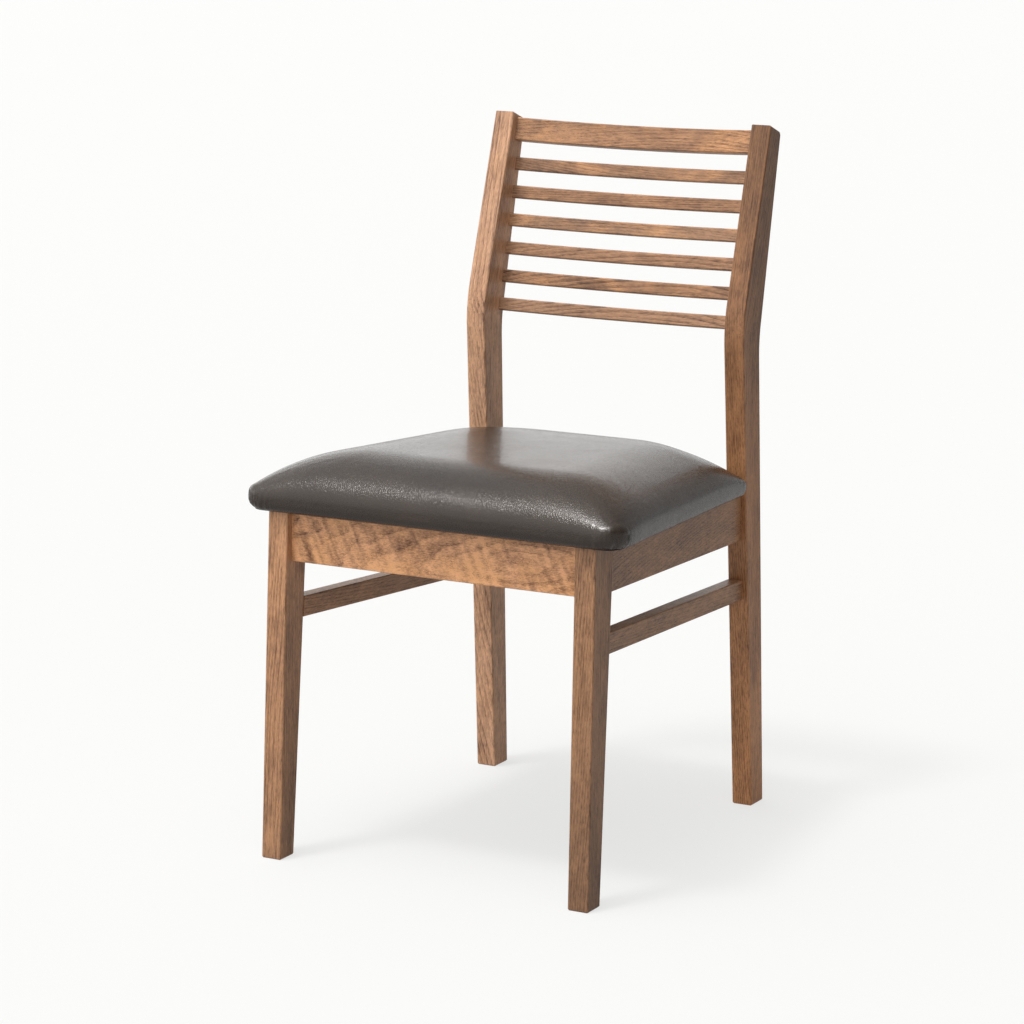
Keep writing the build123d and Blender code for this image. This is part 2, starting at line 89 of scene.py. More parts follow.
class Wiring:
    # short ways to add and join nodes in one tree
    def __init__(self, tree):
        self.tree = tree

    def join(self, source, socket):
        if isinstance(source, bpy.types.NodeSocket):
            self.tree.links.new(source, socket)
        elif source is not None:
            socket.default_value = source

    def add(self, kind, fed=(), **settings):
        # fed pairs the names or numbers of inputs with what goes into them
        node = self.tree.nodes.new(kind)
        for label, value in settings.items():
            setattr(node, label, value)
        for label, value in dict(fed).items():
            self.join(value, node.inputs[label])
        return node

    def maths(self, operation, *values):
        return self.add("ShaderNodeMath", enumerate(values), operation=operation).outputs[0]

    def plus(self, first, second):
        return self.maths("ADD", first, second)

    def less(self, first, second):
        return self.maths("SUBTRACT", first, second)

    def times(self, first, second):
        return self.maths("MULTIPLY", first, second)

    def vector(self, operation, *values):
        node = self.add("ShaderNodeVectorMath", enumerate(values), operation=operation)
        return node.outputs["Value" if operation in ("LENGTH", "DOT_PRODUCT") else "Vector"]

    def scaled(self, vector, factor):
        node = self.add("ShaderNodeVectorMath", {0: vector, "Scale": factor}, operation="SCALE")
        return node.outputs["Vector"]

    def noise(self, vector, scale, detail=2.0, roughness=0.5, distortion=0.0):
        return self.add("ShaderNodeTexNoise", {
            "Vector": vector, "Scale": scale, "Detail": detail, "Roughness": roughness,
            "Distortion": distortion}).outputs["Fac"]

    def streaks(self, vector, scales, detail=2.0, roughness=0.5, distortion=0.0):
        # noise with its own scale along each axis
        return self.noise(self.vector("MULTIPLY", vector, scales), 1.0, detail, roughness, distortion)

    def ramp(self, value, stops):
        node = self.add("ShaderNodeValToRGB", {0: value})
        node.color_ramp.interpolation = "LINEAR"
        marks = node.color_ramp.elements
        while len(marks) < len(stops):
            marks.new(0.5)
        for mark, (place, level) in zip(marks, stops):
            mark.position = place
            mark.color = (level, level, level, 1)
        return node.outputs["Color"]

    def span(self, value, low, high, toLow=0.0, toHigh=1.0):
        return self.add("ShaderNodeMapRange", enumerate((value, low, high, toLow, toHigh))).outputs[0]

    def blend(self, share, first, second):
        node = self.add("ShaderNodeMix", data_type="RGBA", blend_type="MIX")
        for place, value in ((0, share), (6, first), (7, second)):
            self.join(value, node.inputs[place])
        return node.outputs[2]

    def parts(self, vector):
        return self.add("ShaderNodeSeparateXYZ", {0: vector}).outputs

    def triple(self, x, y, z):
        return self.add("ShaderNodeCombineXYZ", {0: x, 1: y, 2: z}).outputs[0]

    def bump(self, height, strength, distance, normal=None):
        return self.add("ShaderNodeBump", {"Height": height, "Strength": strength, "Distance": distance,
                                           "Normal": normal}).outputs[0]


def startGroup(name, kind, inputs, outputs):
    group = bpy.data.node_groups.new(name, kind)
    for label, socketKind, value in inputs:
        socket = group.interface.new_socket(name=label, in_out="INPUT", socket_type=socketKind)
        if value is not None:
            socket.default_value = value
    for label, socketKind in outputs:
        group.interface.new_socket(name=label, in_out="OUTPUT", socket_type=socketKind)
    return Wiring(group), group.nodes.new("NodeGroupInput").outputs, group.nodes.new("NodeGroupOutput")


def woodGrainGroup():
    # the grain runs along X, and the tree's middle is the line y = z = 0
    w, given, result = startGroup(
        "woodGrain", "ShaderNodeTree",
        [("Vector", "NodeSocketVector", None), ("Ring Width", "NodeSocketFloat", 0.0032),
         ("Waver", "NodeSocketFloat", 0.004), ("Pore Amount", "NodeSocketFloat", 0.6),
         ("Light", "NodeSocketColor", (0.4, 0.2, 0.1, 1)), ("Dark", "NodeSocketColor", (0.1, 0.05, 0.02, 1)),
         ("Pore Color", "NodeSocketColor", (0.04, 0.02, 0.01, 1)), ("Tone Drift", "NodeSocketFloat", 0.3),
         ("Ring Depth", "NodeSocketFloat", 1.0), ("Flame", "NodeSocketFloat", 0.7),
         # Gold, Gold Light and Gold Dark make golden figure, partly the wood's own colour and partly painted
         # chatoyant sheen
         ("Gold", "NodeSocketFloat", 0.0), ("Bands", "NodeSocketFloat", 0.0),
         ("Gold Light", "NodeSocketColor", (0.80, 0.40, 0.17, 1)),
         ("Gold Dark", "NodeSocketColor", (0.21, 0.085, 0.036, 1))],
        [("Color", "NodeSocketColor"), ("Pores", "NodeSocketFloat"), ("Height", "NodeSocketFloat")])
    place = given["Vector"]
    slow = w.streaks(place, (3.0, 14.0, 14.0))
    shake = w.streaks(place, (14.0, 90.0, 90.0))
    x, y, z = w.parts(place)
    reach = w.vector("LENGTH", w.triple(0.0, y, z))
    for wander, share in ((slow, 4.0), (shake, 0.35)):
        reach = w.plus(reach, w.times(w.less(wander, 0.5), w.times(given["Waver"], share)))
    count = w.maths("DIVIDE", reach, given["Ring Width"])
    # rings are of unequal width, so the count itself wanders a little
    count = w.plus(count, w.times(w.noise(w.triple(0.0, count, 0.0), 0.45, 1.0), 1.6))
    early = w.ramp(w.maths("FRACT", count), [(0.0, 0.25), (0.07, 1.0), (0.22, 0.6), (0.5, 0.22),
                                             (0.85, 0.05), (1.0, 0.25)])
    fibre = w.streaks(place, (34.0, 620.0, 620.0), 3.0, 0.65)
    streak = w.streaks(place, (130.0, 760.0, 760.0), 2.0, 0.6)
    dash = w.streaks(place, (160.0, 1900.0, 1900.0), 1.0)
    pores = w.times(w.span(dash, 0.55, 0.68), w.span(early, 0.0, 0.7, 0.3, 1.0))
    pores = w.times(pores, given["Pore Amount"])
    drift = w.streaks(place, (5.0, 30.0, 30.0), 3.0, 0.55)
    flame = w.streaks(place, (34.0, 60.0, 60.0), 2.0, 0.6, 0.5)
    depth = w.times(early, w.span(drift, 0.35, 0.65, 0.3, 0.75))
    depth = w.times(depth, given["Ring Depth"])
    # bands of figure cross the grain aslant, and come and go in patches
    aslant = w.vector("ADD", place, w.triple(w.times(z, 0.35), 0.0, 0.0))
    bands = w.streaks(aslant, (80.0, 12.0, 12.0), 2.0, 0.55)
    patch = w.span(w.streaks(place, (8.0, 8.0, 8.0), 1.0), 0.4, 0.6, 0.35, 1.0)
    bands = w.plus(w.times(w.less(bands, 0.5), patch), 0.5)
    for part, strength in ((fibre, 1.3), (streak, 0.9), (drift, given["Tone Drift"]),
                           (flame, given["Flame"]), (bands, given["Bands"])):
        depth = w.plus(depth, w.times(w.less(part, 0.5), strength))
    color = w.blend(w.span(depth, -0.22, 0.78), given["Light"], given["Dark"])
    # golden blotches of figure: partly the wood's own colour, partly a painted chatoyant sheen
    figureSheenBlotch = w.span(w.streaks(place, (17.0, 30.0, 30.0), 2.0, 0.6, 0.6), 0.44, 0.68)
    goldenFigureSheen = w.blend(w.span(depth, -0.1, 0.9), given["Gold Light"], given["Gold Dark"])
    color = w.blend(w.times(figureSheenBlotch, given["Gold"]), color, goldenFigureSheen)
    color = w.blend(pores, color, given["Pore Color"])
    height = w.less(w.times(fibre, 0.3), pores)
    height = w.less(height, w.times(early, 0.2))
    w.join(color, result.inputs["Color"])
    w.join(pores, result.inputs["Pores"])
    w.join(height, result.inputs["Height"])
    return w.tree


def hideGroup():
    # pebbled grain of a pressed leathercloth, with slight stretch wrinkles across it
    w, given, result = startGroup(
        "hideGrain", "ShaderNodeTree",
        [("Vector", "NodeSocketVector", None), ("Pebble Size", "NodeSocketFloat", 0.0016),
         ("Wrinkle", "NodeSocketFloat", 0.5)],
        [("Pebbles", "NodeSocketFloat"), ("Wrinkles", "NodeSocketFloat"), ("Cloud", "NodeSocketFloat")])
    place = given["Vector"]
    wobble = w.noise(place, 240.0)
    wobbled = w.vector("ADD", place, w.scaled(w.triple(wobble, wobble, wobble), 0.0009))
    cells = w.add("ShaderNodeTexVoronoi", feature="DISTANCE_TO_EDGE")
    w.join(wobbled, cells.inputs["Vector"])
    w.join(w.maths("DIVIDE", 1.0, given["Pebble Size"]), cells.inputs["Scale"])
    pebble = w.span(cells.outputs["Distance"], 0.0, 0.28)
    pebble = w.plus(pebble, w.times(w.noise(place, 1400.0), 0.35))
    lines = w.streaks(place, (14.0, 90.0, 90.0), 3.0, 0.6, 0.6)
    soft = w.streaks(place, (9.0, 18.0, 18.0))
    wrinkle = w.plus(w.times(lines, given["Wrinkle"]), soft)
    wrinkle = w.plus(wrinkle, w.times(w.noise(place, 210.0, 3.0, 0.65), 0.55))
    w.join(pebble, result.inputs["Pebbles"])
    w.join(wrinkle, result.inputs["Wrinkles"])
    w.join(w.noise(place, 11.0, 4.0, 0.6), result.inputs["Cloud"])
    return w.tree


woodGrain = woodGrainGroup()
hideGrain = hideGroup()
print("shader groups built")


def startMaterial(name):
    made = bpy.data.materials.new(name)
    made.use_nodes = True
    return made, Wiring(made.node_tree), made.node_tree.nodes["Principled BSDF"]


stain = {
    "light": (0.41, 0.211, 0.108), "dark": (0.082, 0.035, 0.0185), "pore": (0.030, 0.013, 0.007, 1),
    "poreAmount": 0.6, "drift": 0.9,
    "lacquer": 0.12, "lacquerRoughness": 0.2,
    "roughness": 0.42, "poreRoughness": 0.25, "shine": 0.36,
    "bendHeight": 0.6,          # where the back posts bend, and their grain with them
}


def placedVector(w, turn=(0, 0, 0), shift=(0, 0, 0), lean=0.0):
    # lean bends the grain with the back posts above their bend
    vector = w.add("ShaderNodeTexCoord").outputs["Object"]
    if lean:
        x, y, z = w.parts(vector)
        above = w.maths("MAXIMUM", w.less(z, stain["bendHeight"]), 0.0)
        vector = w.triple(x, w.less(y, w.times(above, lean)), z)
    return w.add("ShaderNodeMapping", {
        "Vector": vector, "Location": shift,
        "Rotation": [math.radians(angle) for angle in turn]}).outputs["Vector"]


def useGroup(w, group, vector, values):
    return w.add("ShaderNodeGroup", {"Vector": vector, **values}, node_tree=group)


def tint(color, tone, warmth=1.0):
    # warmth above 1 takes blue out and a little green
    scaled = (color[0] * tone, color[1] * tone / warmth ** 0.4, color[2] * tone / warmth)
    return (*(min(1.0, part) for part in scaled), 1)


def stainedWood(name, turn, shift, ringWidth=0.0032, waver=0.004, tone=1.0, warmth=1.0, rings=0.6,
                flame=0.7, gold=0.15, bands=0.0, foot=1.0, top=1.0, lean=0.0):
    # foot and top scale the tone from the floor up to the top of the chair, as painted light and shade along
    # each piece
    made, w, shader = startMaterial(name)
    grain = useGroup(w, woodGrain, placedVector(w, turn, shift, lean), {
        "Ring Width": ringWidth, "Waver": waver, "Pore Amount": stain["poreAmount"],
        "Tone Drift": stain["drift"], "Ring Depth": rings, "Flame": flame, "Gold": gold, "Bands": bands,
        "Light": tint(stain["light"], tone, warmth), "Dark": tint(stain["dark"], tone, warmth),
        "Pore Color": stain["pore"]}).outputs
    # painted light and shade: the grain's colour is scaled with height, from foot to top
    height = w.parts(placedVector(w))[2]
    heightShadedColor = w.scaled(grain["Color"], w.span(height, 0.0, cadBox[1][2], foot, top))
    w.join(heightShadedColor, shader.inputs["Base Color"])
    w.join(w.span(grain["Pores"], 0.0, 0.6, stain["roughness"], stain["roughness"] + stain["poreRoughness"]),
           shader.inputs["Roughness"])
    w.join(w.bump(grain["Height"], 0.45, 0.0003), shader.inputs["Normal"])
    shader.inputs["Coat Weight"].default_value = stain["lacquer"]
    shader.inputs["Coat Roughness"].default_value = stain["lacquerRoughness"]
    shader.inputs["Specular IOR Level"].default_value = stain["shine"]
    return made


# foot and top below paint light and shade: front legs darker at the floor, back posts lighter low down, the
# left one darker at its top
woodLooks = {
    "front_leg_left": dict(turn=(0, 90.4, 1), shift=(0.1, 0.42, 0.36), ringWidth=0.0026, waver=0.002,
                           tone=1.03, rings=0.8, foot=0.62, top=1.5),
    "front_leg_right": dict(turn=(0, 89.6, -1), shift=(0.7, 0.47, -0.06), ringWidth=0.0028, waver=0.002,
                            tone=1.46, rings=0.75, foot=0.72, top=1.35),
    "back_post_left": dict(turn=(0, 90.5, -2), shift=(0.3, -0.05, 0.42), ringWidth=0.0026, waver=0.0024,
                           tone=1.1, warmth=1.35, rings=0.65, foot=1.4, top=0.5, lean=0.30),
    "back_post_right": dict(turn=(0, 89.5, -2), shift=(1.3, -0.02, -0.12), ringWidth=0.0028, waver=0.0024,
                            tone=1.62, warmth=0.80, rings=0.65, foot=1.15, lean=0.30),
    "front_apron": dict(turn=(0, 4, 16), shift=(0.2, 0.20, -0.385), ringWidth=0.0125, waver=0.020, tone=2.1,
                        rings=0.5, flame=0.9, gold=0.6, bands=2.0),
    "rear_apron": dict(turn=(0, -3, 2), shift=(0.9, -0.3, -0.40), ringWidth=0.004, waver=0.006),
    "side_apron_left": dict(turn=(4, 0, -84), shift=(0.4, -0.02, -0.22), ringWidth=0.0026, waver=0.003,
                            tone=1.05, rings=0.55),
    "side_apron_right": dict(turn=(-4, 0, -94), shift=(1.4, 0.05, -0.25), ringWidth=0.0034, waver=0.003),
    "side_stretcher_left": dict(turn=(0, 3, -88), shift=(0.6, 0.03, -0.5), ringWidth=0.003, waver=0.002),
    "side_stretcher_right": dict(turn=(0, -3, -92), shift=(1.6, 0.02, -0.52), ringWidth=0.003, waver=0.002,
                                 tone=1.25),
    "top_rail": dict(turn=(6, 1, 3), shift=(0.5, -0.14, -0.90), ringWidth=0.0036, waver=0.006, tone=1.08,
                     rings=0.8, flame=0.9, gold=0.5),
}
for number in range(1, 7):
    woodLooks[f"back_slat_{number}"] = dict(
        turn=(10 * number, 2.0 * (-1) ** number, 2), shift=(0.37 * number, 0.09 - 0.05 * number, -0.6),
        ringWidth=0.0030, waver=0.003, rings=0.55 + 0.09 * number, gold=0.1 + 0.3 * (number % 2),
        tone=1.0 + 0.06 * (-1) ** number, warmth=0.86 + 0.14 * (number % 3) / 2)


def paint(name, material):
    nodes[name].data.materials.clear()
    nodes[name].data.materials.append(material)


for name, look in woodLooks.items():
    paint(name, stainedWood("stainedAsh_" + name, **look))


blockWood = {
    "light": (0.60, 0.42, 0.24, 1), "dark": (0.40, 0.25, 0.13, 1), "pore": (0.25, 0.15, 0.08, 1),
    "sawMark": (0.34, 0.22, 0.12, 1), "shine": 0.3,
}


def rawWood(name, turn, shift, ringWidth=0.0035):
    made, w, shader = startMaterial(name)
    place = placedVector(w, turn, shift)
    grain = useGroup(w, woodGrain, place, {
        "Ring Width": ringWidth, "Waver": 0.003, "Pore Amount": 0.3, "Tone Drift": 0.3,
        "Light": blockWood["light"], "Dark": blockWood["dark"], "Pore Color": blockWood["pore"]}).outputs
    saw = w.streaks(place, (900.0, 40.0, 40.0), 1.0)
    w.join(w.blend(w.span(saw, 0.4, 0.7, 0.0, 0.12), grain["Color"], blockWood["sawMark"]),
           shader.inputs["Base Color"])
    w.join(w.span(saw, 0.3, 0.7, 0.72, 0.85), shader.inputs["Roughness"])
    w.join(w.bump(grain["Height"], 0.4, 0.0004), shader.inputs["Normal"])
    shader.inputs["Specular IOR Level"].default_value = blockWood["shine"]
    return made


ply = {
    "layer": 0.0024,            # thickness of one veneer
    "light": (0.62, 0.45, 0.27, 1), "dark": (0.46, 0.31, 0.17, 1), "pore": (0.3, 0.2, 0.1, 1),
    "endGrain": (0.36, 0.23, 0.12, 1), "glue": (0.12, 0.07, 0.04, 1),
}


def plyMaterial():
    # veneers stacked square to the seat's plane, each with its grain turned
    made, w, shader = startMaterial("seatPly")
    place = placedVector(w, (math.degrees(seat["slope"]), 0, 0))
    layer = w.times(w.parts(place)[2], 1 / ply["layer"])
    odd = w.maths("GREATER_THAN", w.maths("FRACT", w.times(layer, 0.5)), 0.5)
    along = useGroup(w, woodGrain, place, {
        "Ring Width": 0.006, "Waver": 0.012, "Pore Amount": 0.2,
        "Light": ply["light"], "Dark": ply["dark"], "Pore Color": ply["pore"]}).outputs
    glue = w.span(w.maths("ABSOLUTE", w.less(w.maths("FRACT", layer), 0.5)), 0.44, 0.5)
    sheetTone = w.blend(odd, along["Color"], ply["endGrain"])
    w.join(w.blend(w.times(glue, 0.6), sheetTone, ply["glue"]), shader.inputs["Base Color"])
    w.join(w.span(along["Height"], -0.5, 0.5, 0.7, 0.82), shader.inputs["Roughness"])
    w.join(w.bump(along["Height"], 0.3, 0.0003), shader.inputs["Normal"])
    return made


hide = {
    "dark": (0.018, 0.0120, 0.0080, 1), "light": (0.037, 0.0238, 0.0158, 1),
    "valley": (0.014, 0.009, 0.007, 1),
    "pebbleSize": 0.0023, "wrinkle": 0.7,
    "valleyRoughness": 0.34, "pebbleRoughness": 0.2, "cloudRoughness": 0.05,
    "creaseBump": (0.32, 0.0015), "pebbleBump": (0.44, 0.0003),         # strength and depth
    "shine": 0.45, "shineTint": (1.0, 0.95, 0.92, 1), "finish": 0.32, "finishRoughness": 0.16,
}


def leatherMaterial():
    made, w, shader = startMaterial("seatLeather")
    grain = useGroup(w, hideGrain, placedVector(w), {
        "Pebble Size": hide["pebbleSize"], "Wrinkle": hide["wrinkle"]}).outputs
    tone = w.blend(w.span(grain["Cloud"], 0.3, 0.7), hide["dark"], hide["light"])
    w.join(w.blend(w.span(grain["Pebbles"], 0.05, 0.6), hide["valley"], tone), shader.inputs["Base Color"])
    gloss = w.plus(w.span(grain["Pebbles"], 0.0, 1.0, hide["valleyRoughness"], hide["pebbleRoughness"]),
                   w.span(grain["Cloud"], 0.3, 0.7, -hide["cloudRoughness"], hide["cloudRoughness"]))
    w.join(gloss, shader.inputs["Roughness"])
    creased = w.bump(grain["Wrinkles"], *hide["creaseBump"])
    w.join(w.bump(grain["Pebbles"], *hide["pebbleBump"], creased), shader.inputs["Normal"])
    shader.inputs["Specular IOR Level"].default_value = hide["shine"]
    shader.inputs["Specular Tint"].default_value = hide["shineTint"]
    shader.inputs["Coat Weight"].default_value = hide["finish"]
    shader.inputs["Coat Roughness"].default_value = hide["finishRoughness"]
    return made


liningLook = {
    "dark": (0.012, 0.012, 0.013, 1), "light": (0.030, 0.030, 0.032, 1), "bond": (0.008, 0.008, 0.009, 1),
    "bondGrid": 2400.0, "shine": 0.25,
}


def liningMaterial():
    # pressed fibres with a grid of small bond marks
    made, w, shader = startMaterial("underLining")
    place = placedVector(w)
    x, y, z = w.parts(place)
    fibres = w.streaks(place, (900.0, 500.0, 500.0), 3.0, 0.7)
    grid = w.times(w.maths("SINE", w.times(w.plus(x, y), liningLook["bondGrid"])),
                   w.maths("SINE", w.times(w.less(x, y), liningLook["bondGrid"])))
    marks = w.span(grid, 0.55, 0.9)
    base = w.blend(w.span(fibres, 0.35, 0.65), liningLook["dark"], liningLook["light"])
    w.join(w.blend(w.times(marks, 0.6), base, liningLook["bond"]), shader.inputs["Base Color"])
    w.join(w.span(marks, 0.0, 1.0, 0.85, 0.6), shader.inputs["Roughness"])
    w.join(w.bump(w.less(fibres, marks), 0.5, 0.0002), shader.inputs["Normal"])
    shader.inputs["Specular IOR Level"].default_value = liningLook["shine"]
    return made


def steelMaterial(name, color):
    made, w, shader = startMaterial(name)
    spots = w.noise(placedVector(w), 900.0, 3.0, 0.6)
    w.join(w.blend(w.span(spots, 0.35, 0.65), color, tint(color, 0.78)), shader.inputs["Base Color"])
    w.join(w.span(spots, 0.3, 0.7, 0.28, 0.44), shader.inputs["Roughness"])
    w.join(w.bump(spots, 0.15, 0.0001), shader.inputs["Normal"])
    shader.inputs["Metallic"].default_value = 1.0
    return made


leather = leatherMaterial()
lining = liningMaterial()
screwSteel = steelMaterial("yellowZinc", (0.62, 0.54, 0.36, 1))
stapleSteel = steelMaterial("stapleWire", (0.62, 0.62, 0.61, 1))
for name, turn in (("corner_block_front_left", 45), ("corner_block_front_right", -45),
                   ("corner_block_rear_left", -45), ("corner_block_rear_right", 45)):
    paint(name, rawWood("rawBlock_" + name, (0, 0, turn), (0.1 * len(name), 0.05, -0.3)))
paint("apron_dowels", rawWood("dowelBirch", (0, 0, 0), (0, 0.1, -0.1), 0.002))
paint("seat_board", plyMaterial())
print("materials built")


pad = {
    "frontX": 0.2544, "rearX": 0.2032,          # half widths at the front and at the notches
    "frontY": -0.2722, "notchY": 0.1698, "notchX": 0.1645, "rearY": 0.2108,
    "middleY": -0.03,                           # its loops shrink towards this point
    "cornerRadius": 0.028, "rearRadius": 0.016, "notchRadius": 0.008,
    "cornerTuck": 0.0038, "tuckReach": 0.03,    # the nose draws in at the front corners
    "edge": 0.0157, "crown": 0.069,             # heights over the seat's plane
    "side": 0.1166, "front": 0.108, "rear": 0.165, "notch": 0.112,     # widths of the rounded shoulders
    "power": 2.07,
    "bottom": 0.0007, "postGap": 0.001,
    "voxel": 0.0048, "sharp": math.radians(50),
    "startInset": 0.001, "cap": 0.0045, "pressure": 4.0, "held": 0.0035,        # for the air in the shell
    "boardInset": 0.0096, "boardTop": 0.0142,   # room cut for the board
    # share of the outline and height of each loop from the flat bottom up round the nose
    "nose": ((0.972, 0.0007), (0.982, 0.0010), (0.990, 0.0026), (0.996, 0.0052),
             (0.9995, 0.0085), (1.0, 0.0125)),
    "shoulderLoops": (0.9985, 0.994, 0.987, 0.977, 0.963, 0.945, 0.92, 0.89),
    "topLoops": 21, "topStep": 0.04, "topFirst": 0.86,
}


def roundedLoop(corners, step):
    # corners are (x, y, radius) in order; gives an even loop of points with the corners rounded
    points = []
    total = len(corners)
    for place in range(total):
        before, here, after = (Vector(corners[(place + k) % total][:2]) for k in (-1, 0, 1))
        radius = corners[place][2]
        back, on = (before - here).normalized(), (after - here).normalized()
        angle = back.angle(on)
        run = radius / math.tan(angle / 2)
        start = here + back * run
        centre = here + (back + on).normalized() * radius / math.sin(angle / 2)
        first = start - centre
        turn = math.pi - angle
        side = 1 if (on.x * back.y - on.y * back.x) > 0 else -1
        count = max(3, round(turn * radius / step))
        for k in range(count + 1):
            a = side * turn * k / count
            points.append(Vector((centre.x + first.x * math.cos(a) - first.y * math.sin(a),
                                  centre.y + first.x * math.sin(a) + first.y * math.cos(a))))
    filled = []
    for place, point in enumerate(points):
        after = points[(place + 1) % len(points)]
        pieces = max(1, round((after - point).length / step))
        filled += [point.lerp(after, k / pieces) for k in range(pieces)]
    return filled


def padSlant():
    return (pad["frontX"] - pad["rearX"]) / (pad["notchY"] - pad["frontY"])


def padLoop(inset, step=0.004):
    # the pad's outline drawn in by inset, as an even loop of points
    slant = padSlant()
    front, notch, rear = pad["frontY"] + inset, pad["notchY"] - inset, pad["rearY"] - inset
    neck = pad["notchX"] - inset
    frontX, notchX = (pad["frontX"] - slant * (y - pad["frontY"]) - inset * math.hypot(1, slant)
                      for y in (front, notch))
    corner, rearCorner = (max(0.002, pad[label] - inset) for label in ("cornerRadius", "rearRadius"))
    right = [(frontX, front, corner), (notchX, notch, rearCorner),
             (neck, notch, pad["notchRadius"] + inset), (neck, rear, rearCorner)]
    left = [(-x, y, radius) for x, y, radius in reversed(right)]
    return roundedLoop(right + left, step)


def shoulder(distance, width):
    share = min(1.0, max(0.0, distance / width))
    return (1 - (1 - share) ** pad["power"]) ** (1 / pad["power"])


def padRise(x, y):
    # height of the pad's top over the seat's plane
    slant = padSlant()
    toSide = (pad["frontX"] - slant * (y - pad["frontY"]) - abs(x)) / math.hypot(1, slant)
    toNotch = math.hypot(max(0.0, pad["notchX"] - abs(x)), max(0.0, pad["notchY"] - y))
    rise = (shoulder(toSide, pad["side"]) * shoulder(y - pad["frontY"], pad["front"])
            * shoulder(pad["rearY"] - y, pad["rear"]) * shoulder(toNotch, pad["notch"]))
    return pad["edge"] + (pad["crown"] - pad["edge"]) * rise


def bridge(work, first, second):
    total = len(first)
    for k in range(total):
        work.faces.new((first[k], first[(k + 1) % total], second[(k + 1) % total], second[k]))


def closeLoop(work, ring, height):
    # fan of faces from a loop to the pad's middle
    middle = work.verts.new(seatPoint(*Vector((0, pad["middleY"])), height))
    for k in range(len(ring)):
        work.faces.new((ring[k], ring[(k + 1) % len(ring)], middle))


def objectFrom(work, name):
    bmesh.ops.recalc_face_normals(work, faces=work.faces)
    mesh = bpy.data.meshes.new(name)
    work.to_mesh(mesh)
    work.free()
    return newObject(name, mesh)


def padShell(inset):
    # closed shell: flat bottom, tucked nose, then the crowned top in ever smaller loops
    work = bmesh.new()
    outer = padLoop(inset)
    centre = Vector((0, pad["middleY"]))
    noseTop = pad["nose"][-1][1]
    loops = []
    for share, height in pad["nose"]:
        ring = []
        for point in outer:
            away = math.hypot(pad["frontX"] - abs(point.x), pad["frontY"] - point.y)
            tuck = pad["cornerTuck"] * math.exp(-(away / pad["tuckReach"]) ** 2) * (1 - height / noseTop) ** 2
            x, y = centre + (point - centre) * share * (1 - tuck / (point - centre).length)
            ring.append(work.verts.new(seatPoint(x, y, height)))
        loops.append(ring)
    shares = [pad["topFirst"] - pad["topStep"] * k for k in range(pad["topLoops"])]
    for share in (*pad["shoulderLoops"], *shares):
        ring = []
        for point in outer:
            x, y = centre + (point - centre) * share
            ring.append(work.verts.new(seatPoint(x, y, padRise(x, y) - inset)))
        loops.append(ring)
    for first, second in zip(loops, loops[1:]):
        bridge(work, first, second)
    closeLoop(work, loops[0], pad["bottom"])
    closeLoop(work, loops[-1], pad["crown"] - inset)
    return objectFrom(work, "seat_pad")


def applyAll(made):
    # turns the object as it looks now, modifiers and all, into its own plain mesh
    graph = bpy.context.evaluated_depsgraph_get()
    graph.update()
    mesh = bpy.data.meshes.new_from_object(made.evaluated_get(graph), depsgraph=graph)
    made.modifiers.clear()
    made.data = mesh
    return made


def vertexValues(mesh, label):
    values = np.zeros(len(mesh.vertices) * 3, np.float32)
    mesh.vertices.foreach_get(label, values)
    return values.reshape(-1, 3).astype(float)


def setPoints(mesh, points):
    mesh.vertices.foreach_set("co", points.astype(np.float32).ravel())
    mesh.update()


def puff(made):
    # air pressure in a pinned cloth shell rounds the pad; no point may move further than the cap
    before = vertexValues(made.data, "co")
    heights = np.array([seatHeight(point) for point in before])
    hold = made.vertex_groups.new(name="hold")
    for place in np.nonzero(heights < pad["held"])[0]:
        hold.add([int(place)], 1.0, "REPLACE")
    cloth = made.modifiers.new("cloth", "CLOTH")
    settings = cloth.settings
    settings.quality = 6
    settings.mass = 0.25
    settings.tension_stiffness = 18
    settings.compression_stiffness = 12
    settings.shear_stiffness = 6
    settings.bending_stiffness = 1.5
    settings.use_pressure = True
    settings.uniform_pressure_force = pad["pressure"]
    settings.effector_weights.gravity = 0
    settings.vertex_group_mass = "hold"
    cloth.point_cache.frame_start = 1
    cloth.point_cache.frame_end = 20
    for number in range(1, 21):
        scene.frame_set(number)
    applyAll(made)
    move = vertexValues(made.data, "co") - before
    length = np.linalg.norm(move, axis=1)
    print("pad moved up to", round(float(length.max()) * 1000, 1), "mm, mean",
          round(float(length.mean()) * 1000, 1))
    share = np.minimum(1.0, pad["cap"] / np.maximum(length, 1e-9))
    setPoints(made.data, before + move * share[:, None])
    made.vertex_groups.clear()
    scene.frame_set(1)


def subdivide(made, levels):
    smooth = made.modifiers.new("smooth", "SUBSURF")
    smooth.levels = levels
    smooth.render_levels = levels
    applyAll(made)


def neighbourMean(mesh, values, rounds):
    # each value becomes the mean of itself and its neighbours', over and over
    edges = np.zeros(len(mesh.edges) * 2, np.int64)
    mesh.edges.foreach_get("vertices", edges)
    first, second = edges.reshape(-1, 2).T
    size = len(values)
    count = np.bincount(first, minlength=size) + np.bincount(second, minlength=size) + 1.0
    for turn in range(rounds):
        total = values.copy()
        total += np.bincount(first, values[second], size) + np.bincount(second, values[first], size)
        values = total / count
    return values


def settle(made, rounds):
    # brings the shell back to the pad's drawn shape, and keeps what the air did over short spans
    target = padShell(0.0)
    tree = BVHTree.FromObject(target, bpy.context.evaluated_depsgraph_get())
    points = vertexValues(made.data, "co")
    normals = vertexValues(made.data, "normal")
    away = np.zeros(len(points))
    for place, point in enumerate(points):
        near, facing, index, far = tree.find_nearest(Vector(point))
        gap = near - Vector(point)
        away[place] = math.copysign(far, gap.dot(Vector(normals[place]))) if far > 0 else 0.0
    soft = neighbourMean(made.data, away, rounds)
    print("pad off its drawn shape by", round(float(np.abs(away).mean()) * 1000, 2), "mm, then",
          round(float(np.abs(away - soft).mean()) * 1000, 2))
    setPoints(made.data, points + normals * soft[:, None])
    dropObject(target)


